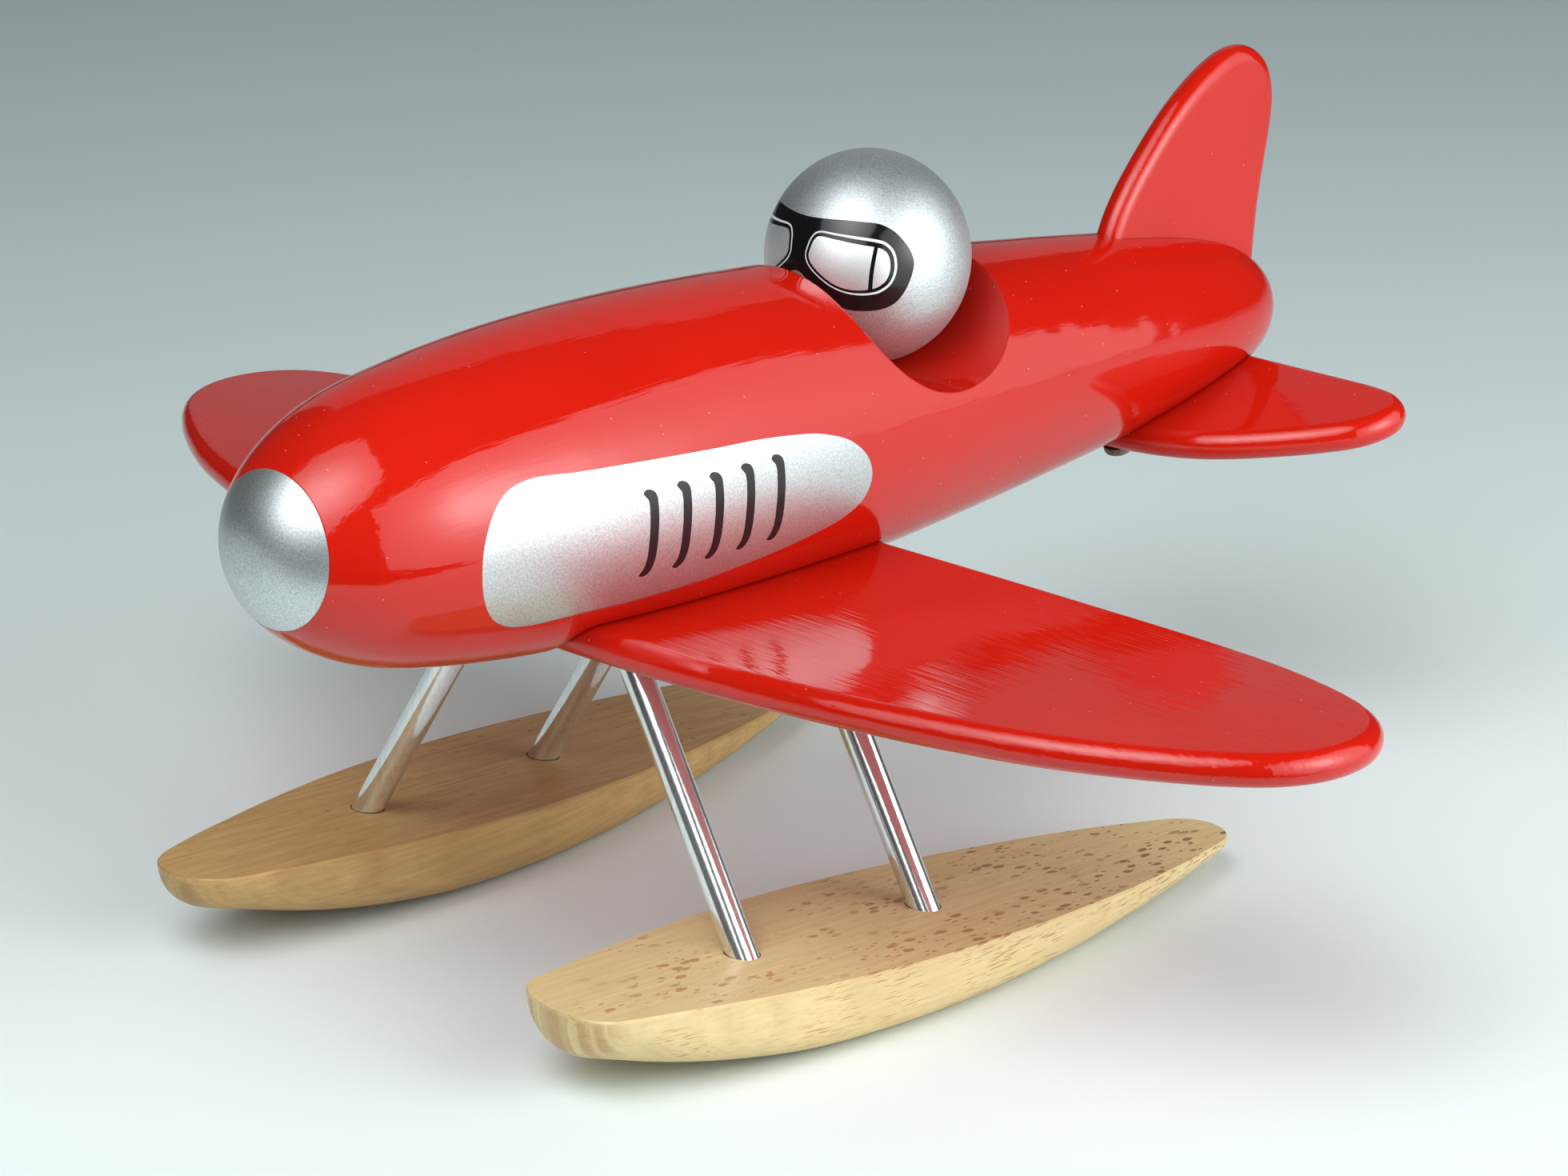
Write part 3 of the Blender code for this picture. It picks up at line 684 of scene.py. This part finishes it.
FLOAT_X, FLOAT_Y, FLOAT_TOE = 52.55, -1.5, 0.07
DECK_RISE, DECK_LEVEL_Y = 0.023, -10.0
FLOAT_STERN, STERN_ROUND, END_POWER = 89.1, 6.5, 2.5
FLOAT_EDGE, DECK_EDGE = 7.0, 0.40
BOW_LIFT, BOW_LIFT_PLACE, BOW_LIFT_LENGTH = 1.2, 10.0, 22.0
KEEL_ROUND = 5.0
BOW_EDGE, BOW_EDGE_LENGTH = 5.0, 12.0
# The largest share of the half width, and of the depth, that the rounded edge takes, and what the bow adds.
EDGE_ACROSS, EDGE_ACROSS_BOW, EDGE_DOWN, EDGE_DOWN_BOW = 0.6, 0.37, 0.8, 0.17
FLOAT_END_STEP, FLOAT_SMOOTH_BELOW = 0.03, 28.0
HOLE_ROOM, HOLE_CUTTER_TOP = 0.3, 10.0
# hand: (side, bow's tip along the float, how far behind it the plan starts to close)
FLOAT_BOWS = {"port": (1, -72.2, 6.9), "starboard": (-1, -82.3, 8.7)}
FLOAT_HALF_WIDTH = [
    (-84.0, 7.5), (-74.0, 10.6), (-66.0, 12.9), (-56.0, 15.2), (-42.0, 18.1), (-24.0, 20.7),
    (-4.0, 21.8), (16.0, 21.1), (36.0, 18.9), (54.0, 16.0), (70.0, 12.3), (80.0, 9.2), (90.0, 6.0),
]
FLOAT_DEPTH = [
    (-84.0, 6.6), (-74.0, 9.6), (-66.0, 11.0), (-58.0, 12.2), (-48.0, 13.2), (-38.0, 13.8),
    (-26.0, 14.2), (-12.0, 13.8), (0.0, 13.3), (12.0, 12.6), (23.0, 11.7), (36.0, 10.4), (48.0, 8.9),
    (60.0, 7.2), (74.0, 5.0), (82.0, 3.8), (90.0, 2.6),
]


def float_hull(name, side, bow, bow_round):
    """Sections carried along the float: deck with a small chamfer, steep side, quarter ellipse below and flat
    bottom. Both ends close by a superellipse. At a distance s behind the bow the bottom lifts by
    lift exp(-((s - place) / length)^2) and its edges are rounder by edge exp(-(s / length)^2). The floor
    cuts it flat."""
    share = 0.5 - 0.5 * np.cos(np.pi * np.linspace(0.0, 1.0, 150))
    along = bow + FLOAT_END_STEP + (FLOAT_STERN - bow - 2 * FLOAT_END_STEP) * share
    width = np.interp(along, *smooth_curve(FLOAT_HALF_WIDTH, 200).T)
    depth = np.interp(along, *smooth_curve(FLOAT_DEPTH, 200).T)
    depth = depth - BOW_LIFT * np.exp(-((along - bow - BOW_LIFT_PLACE) / BOW_LIFT_LENGTH) ** 2)
    closing = end_factor((along - FLOAT_STERN + STERN_ROUND) / STERN_ROUND, END_POWER)
    width = width * closing * end_factor((bow + bow_round - along) / bow_round, END_POWER)
    depth = depth * closing * end_factor((bow + KEEL_ROUND - along) / KEEL_ROUND, END_POWER)
    near_bow = np.exp(-((along - bow) / BOW_EDGE_LENGTH) ** 2)
    edge = FLOAT_EDGE + BOW_EDGE * near_bow
    edge_width = np.minimum(edge, (EDGE_ACROSS + EDGE_ACROSS_BOW * near_bow) * width)[:, None]
    edge_depth = np.minimum(edge, (EDGE_DOWN + EDGE_DOWN_BOW * near_bow) * depth)[:, None]
    chamfer = np.minimum(DECK_EDGE, 0.2 * width)[:, None]
    turn = np.linspace(0.0, np.pi / 2, 16)
    width, depth = width[:, None], depth[:, None]
    inner = width * np.linspace(0.0, 0.9, 6)[1:]
    outs = np.hstack([inner, width - chamfer, width, width - edge_width + edge_width * np.cos(turn)])
    downs = np.hstack([0.0 * inner, 0.0 * chamfer, -chamfer, edge_depth - depth - edge_depth * np.sin(turn)])
    outs = np.hstack([outs, -outs[:, ::-1]])
    downs = np.hstack([downs, downs[:, ::-1]])
    x = FLOAT_X + along[:, None] * math.sin(FLOAT_TOE) + outs * math.cos(FLOAT_TOE)
    y = FLOAT_Y + along[:, None] * math.cos(FLOAT_TOE) - outs * math.sin(FLOAT_TOE)
    z = downs - DECK_RISE * (y - DECK_LEVEL_Y)
    floor = (y * math.sin(STANDING_PITCH) - FLAT_DEPTH) / math.cos(STANDING_PITCH)
    return skin(name, np.stack([side * x, y, np.maximum(z, floor)], -1), FLOAT_SMOOTH_BELOW)


def along_axis(tree, axis, offset):
    """The dot product of the piece's own coordinates with an axis, plus a number or a value."""
    place = tree.nodes.new("ShaderNodeTexCoord")
    product = tree.nodes.new("ShaderNodeVectorMath")
    product.operation = "DOT_PRODUCT"
    product.inputs[1].default_value = axis
    tree.links.new(place.outputs["Object"], product.inputs[0])
    return calculate(tree, "ADD", product.outputs["Value"], offset)


DECK_LEVEL = 17.9


def beech(name, wood_colours, fleck_colour, fleck_size, tip_y):
    """Clear varnished beech. The growth rings stand upright along the float, so they show as long streaks
    on the deck and as upright stripes where the bow cuts across them, at tip_y. The rays lie flat and are
    longest along the grain, so they show as dark lens shapes on the deck and as thin dashes on the sides.
    They come in loose clusters, and more and darker ones astern."""
    material, tree, shader = new_material(name)
    rings = noise(tree, (1.0, 0.03, 0.15), 850.0, 3.0, 0.6)
    streaks = noise(tree, (1.0, 0.04, 1.6), 900.0, 3.0, 0.6)
    wood = ramp(tree, mix(tree, 0.5, rings, streaks), [(0.32, wood_colours[0]), (0.68, wood_colours[1])])
    large = specks(tree, (1.0, 0.34, 5.5), 380.0, fleck_size, 0.35)
    small = specks(tree, (1.0, 0.30, 4.0), 760.0, 0.8 * fleck_size, 0.25)
    patches = calculate(tree, "ADD", noise(tree, (1.0, 0.6, 1.0), 95.0), 0.036)
    clusters = ramp(tree, along_axis(tree, (0.0, 1.2, 0.0), patches), [(0.40, 0.0), (0.54, 0.9)])
    rays = mix(tree, clusters, (0.0, 0.0, 0.0), mix(tree, large, small, (1.0, 1.0, 1.0)))
    paler = tuple(1.25 * c for c in fleck_colour)
    darker = tuple(0.55 * c for c in fleck_colour)
    fleck = ramp(tree, along_axis(tree, (0.0, 6.0, 0.0), 0.5), [(0.2, paler), (0.8, darker)])
    at_tip = ramp(tree, along_axis(tree, (0.0, -80.0, 0.0), 80.0 * tip_y + 0.8), [(0.25, 0.0), (0.6, 1.0)])
    below_deck = ramp(tree, along_axis(tree, (0.0, 0.0, -1.0 / MM), DECK_LEVEL), [(0.2, 0.0), (0.8, 1.0)])
    stripes = ramp(tree, noise(tree, (1.0, 0.05, 0.05), 520.0), [(0.38, 0.55), (0.58, 0.0)])
    end_grain = mix(tree, at_tip, (0.0, 0.0, 0.0), mix(tree, below_deck, (0.0, 0.0, 0.0), stripes))
    striped = mix(tree, end_grain, wood, fleck_colour)
    tree.links.new(mix(tree, rays, striped, fleck), shader.inputs["Base Color"])
    shader.inputs["Roughness"].default_value = 0.42
    fibres = bump(tree, noise(tree, (1.0, 0.06, 1.0), 2200.0), 0.00003)
    tree.links.new(bump(tree, rings, 0.00002, fibres), shader.inputs["Normal"])
    return material


# Colours of the wood from dark to light, colour and size of its flecks, and the bow's tip along y, in metres.
BEECH = {
    "port": beech("beech_pale", ((0.60, 0.44, 0.21), (0.73, 0.57, 0.29)), (0.36, 0.18, 0.06), 0.30, -0.1075),
    "starboard": beech("beech_brown", ((0.37, 0.215, 0.072), (0.55, 0.345, 0.13)), (0.27, 0.14, 0.05), 0.15,
                       -0.1187),
}
for hand, (side, bow, bow_round) in FLOAT_BOWS.items():
    hull = float_hull("hull_" + hand, side, bow, bow_round)
    for place in ("front_" + hand, "rear_" + hand):
        foot = strut_point(place, side, -STRUT_FOOT - HOLE_ROOM)
        top = strut_point(place, side, HOLE_CUTTER_TOP)
        hole = round_bar("cutter", foot, top, STRUT_HOLE_RADIUS, 64)
        carve(hull, hole, sharp_degrees=FLOAT_SMOOTH_BELOW)
    dress(hull, BEECH[hand], "float_" + hand)


# TAIL SCREW
# A small browned steel screw with a plain pan head. It is driven up through the root of the tailplane and
# holds it to the tail, so only its head shows.

SCREW_X, SCREW_ALONG = 5.5, -11.4
SCREW_HEAD_RADIUS, SCREW_HEAD_HEIGHT = 2.9, 1.9
SCREW_PROFILE = [(0.0, 0.0), (0.45, 0.02), (0.8, 0.12), (0.95, 0.32), (1.0, 0.6), (1.0, 1.0)]

profile = smooth_curve(SCREW_PROFILE, 24)
angle = 2 * np.pi * np.arange(48) / 48
radius = SCREW_HEAD_RADIUS * np.maximum(profile[:, :1], 0.01)
level = -TAILPLANE_THICKNESS / 2 - SCREW_HEAD_HEIGHT * (1.0 - profile[:, 1:])
across, along = SCREW_X + radius * np.cos(angle), SCREW_ALONG + radius * np.sin(angle)
screw = skin("screw_head", tailplane_place(level, across, along))
browned_steel, tree, shader = new_material("browned_steel")
stains = noise(tree, (1.0, 1.0, 1.0), 1200.0, 3.0)
patina = ramp(tree, stains, [(0.3, (0.13, 0.095, 0.07)), (0.7, (0.30, 0.23, 0.18))])
tree.links.new(patina, shader.inputs["Base Color"])
shader.inputs["Metallic"].default_value = 0.7
shader.inputs["Roughness"].default_value = 0.45
dress(screw, browned_steel, "tail_screw")


# STUDIO
# A pale table top, greyed away from the camera by painted shade, that ends just in front of the picture, over
# a dark floor that glows faintly as painted light, and lights that the camera doesn't see: two softboxes with
# a bright middle, a grey backdrop that only the glossy surfaces see, and a pale wall that they don't.

TOY_MIDDLE = np.array([0.0, 0.0, 0.08])
LIGHT_TINT = (0.95, 1.0, 1.01)


def add_stage(name, place, corners, material):
    """One flat face through the corners, measured from the object's place. It is no part of the toy."""
    mesh = bpy.data.meshes.new(name)
    mesh.from_pydata([tuple(corner) for corner in corners], [], [tuple(range(len(corners)))])
    mesh.materials.append(material)
    card = bpy.data.objects.new(name, mesh)
    bpy.context.scene.collection.objects.link(card)
    card.location = place
    return card


def stage_card(name, azimuth, elevation, distance, outline, hot, material):
    """A card square to the line from the toy's middle at an azimuth, 0 ahead of the nose and 90 to port, and
    an elevation. Its outline and its hot spot are given along it and up it, in shares of its distance."""
    a, e = math.radians(azimuth), math.radians(elevation)
    away = np.array([math.sin(a) * math.cos(e), -math.cos(a) * math.cos(e), math.sin(e)])
    along = np.array([math.cos(a), math.sin(a), 0.0])
    up = np.cross(away, along)
    place = TOY_MIDDLE + distance * (away + hot[0] * along + hot[1] * up)
    corners = [distance * ((x - hot[0]) * along + (y - hot[1]) * up) for x, y in outline]
    return add_stage(name, place, corners, material)


def glow(name, base, *hills):
    """Light from a card: base + the sum of peak exp(-(r / spread)^2), at a distance r from the hot spot."""
    material = bpy.data.materials.new(name)
    material.use_nodes = True
    tree = material.node_tree
    tree.nodes.clear()
    place = tree.nodes.new("ShaderNodeTexCoord")
    length = tree.nodes.new("ShaderNodeVectorMath")
    length.operation = "LENGTH"
    tree.links.new(place.outputs["Object"], length.inputs[0])
    total = base
    for peak, spread in hills:
        share = calculate(tree, "DIVIDE", length.outputs["Value"], spread)
        square = calculate(tree, "POWER", share, 2.0)
        fall = calculate(tree, "EXPONENT", calculate(tree, "MULTIPLY", square, -1.0))
        total = calculate(tree, "ADD", calculate(tree, "MULTIPLY", fall, peak), total)
    emission = tree.nodes.new("ShaderNodeEmission")
    emission.inputs["Color"].default_value = (*LIGHT_TINT, 1.0)
    if hills:
        tree.links.new(total, emission.inputs["Strength"])
    else:
        emission.inputs["Strength"].default_value = base
    output = tree.nodes.new("ShaderNodeOutputMaterial")
    tree.links.new(emission.outputs["Emission"], output.inputs["Surface"])
    return material


LIGHT_DISTANCE, BACK_DISTANCE, BACK_AZIMUTH = 0.85, 1.5, -131
FRONT_OUTLINE = [(0.42, -0.50), (0.55, 0.12), (0.50, 0.40), (-0.10, 0.88), (-0.38, 0.78), (-0.56, 0.36),
                 (-0.56, -0.50)]
SIDE_OUTLINE = [(-1.24, -0.80), (0.78, -0.62), (0.72, 0.74), (0.00, 0.72), (-1.08, 0.66)]
BACKDROP_OUTLINE = [(-0.38, -0.38), (0.38, -0.38), (0.38, 0.45), (-0.38, 0.45)]
WALLS_OUTLINE = [(-0.6, -0.55), (0.6, -0.55), (0.6, 0.6), (-0.6, 0.6)]
front_box = stage_card("softbox_front", 16, 46, LIGHT_DISTANCE, FRONT_OUTLINE, (0.03, 0.08),
                       glow("glow_front", 1.35, (4.8, 0.36 * LIGHT_DISTANCE)))
side_box = stage_card("softbox_side", 115, 15, LIGHT_DISTANCE, SIDE_OUTLINE, (-0.22, 0.08),
                      glow("glow_side", 1.35, (1.35, 0.60 * LIGHT_DISTANCE), (4.8, 0.27 * LIGHT_DISTANCE)))
backdrop = stage_card("backdrop", BACK_AZIMUTH, 22, BACK_DISTANCE, BACKDROP_OUTLINE, (0.0, 0.0),
                      glow("glow_backdrop", 0.26))
walls = stage_card("walls", BACK_AZIMUTH, 42, BACK_DISTANCE, WALLS_OUTLINE, (0.0, 0.0),
                   glow("glow_walls", 0.5))
for box in (front_box, side_box, backdrop, walls):
    box.visible_camera = False
backdrop.visible_diffuse = False
backdrop.visible_shadow = False
walls.visible_glossy = False

# The table ends towards the camera on a line square to this azimuth, just out of the picture. Past its end
# the lacquer sees the lower part of the side light, and the room's dark floor, a card that glows faintly as
# painted light for a dim floor.
TABLE_END_AZIMUTH, TABLE_END, TABLE_HALF, TABLE_BACK = 60.0, 0.236, 4.0, -6.0
ROOM_FLOOR, ROOM_HALF = -0.75, 3.0
# Painted shade: the table's colour greys away from the camera, standing in for the shade of paper that curves
# up away from the lights, and is greyest this far behind the toy.
FADE_AZIMUTH, FADE_BACK = math.radians(46.0), 0.9


def table_top(name, spread, height, from_end, to_end, material):
    """A rectangle turned to the table's end, from one distance towards it to another, at a height."""
    a = math.radians(TABLE_END_AZIMUTH)
    away, along = np.array([math.sin(a), -math.cos(a)]), np.array([math.cos(a), math.sin(a)])
    corners = [away * far + along * side for far, side in
               ((from_end, -spread), (to_end, -spread), (to_end, spread), (from_end, spread))]
    return add_stage(name, (0.0, 0.0, 0.0), [(*corner, height) for corner in corners], material)


pale_table, tree, shader = new_material("pale_table")
share = along_axis(tree, (math.sin(FADE_AZIMUTH), -math.cos(FADE_AZIMUTH), 0.0), FADE_BACK)
# Painted shade: the table's colour darkens away from the camera.
table_colour_painted_shade = ramp(tree, share, [(0.0, (0.50, 0.60, 0.61)), (0.95, (0.76, 0.83, 0.82))])
tree.links.new(table_colour_painted_shade, shader.inputs["Base Color"])
shader.inputs["Roughness"].default_value = 0.6
shader.inputs["Specular IOR Level"].default_value = 0.2
table_top("table", TABLE_HALF, 0.0, TABLE_BACK, TABLE_END, pale_table)
# The room's floor is no lamp but glows faintly: painted light standing in for a dimly lit floor.
table_top("room_floor", ROOM_HALF, ROOM_FLOOR, 0.0, ROOM_HALF, glow("glow_room_floor_painted_light", 0.012))

world = bpy.data.worlds.new("room")
bpy.context.scene.world = world
world.use_nodes = True
world.node_tree.nodes["Background"].inputs["Color"].default_value = (0.028, 0.031, 0.031, 1.0)
world.node_tree.nodes["Background"].inputs["Strength"].default_value = 1.0


# CAMERA
# The photograph's own viewpoint, read from the toy's round and straight edges: a long lens about a metre
# away, a little above the toy, ahead of it and to port.

CAMERA_PLACE = (666.67, -616.24, 348.13)
CAMERA_AZIMUTH, CAMERA_ELEVATION, CAMERA_ROLL = 45.994, 18.142, 0.727
SENSOR_WIDTH, FOCAL_LENGTH = 36.0, 117.5
CLIP_START, CLIP_END = 0.05, 20.0

a, e, r = (math.radians(v) for v in (CAMERA_AZIMUTH, CAMERA_ELEVATION, CAMERA_ROLL))
back = np.array([math.sin(a) * math.cos(e), -math.cos(a) * math.cos(e), math.sin(e)])
right = np.array([math.cos(a), math.sin(a), 0.0])
up = np.cross(back, right)
right, up = right * math.cos(r) + up * math.sin(r), up * math.cos(r) - right * math.sin(r)
place = to_frame(CAMERA_PLACE)
columns = [(to_frame(direction) - to_frame((0, 0, 0))) / MM for direction in (right, up, back)]
camera_data = bpy.data.cameras.new("camera")
camera_data.sensor_width = SENSOR_WIDTH
camera_data.lens = FOCAL_LENGTH
camera_data.clip_start, camera_data.clip_end = CLIP_START, CLIP_END
camera = bpy.data.objects.new("camera", camera_data)
bpy.context.scene.collection.objects.link(camera)
turn = Matrix([list(row) for row in np.array(columns).T]).to_4x4()
camera.matrix_world = Matrix.Translation(Vector(place)) @ turn
bpy.context.scene.camera = camera
bpy.context.scene.view_settings.view_transform = "Standard"
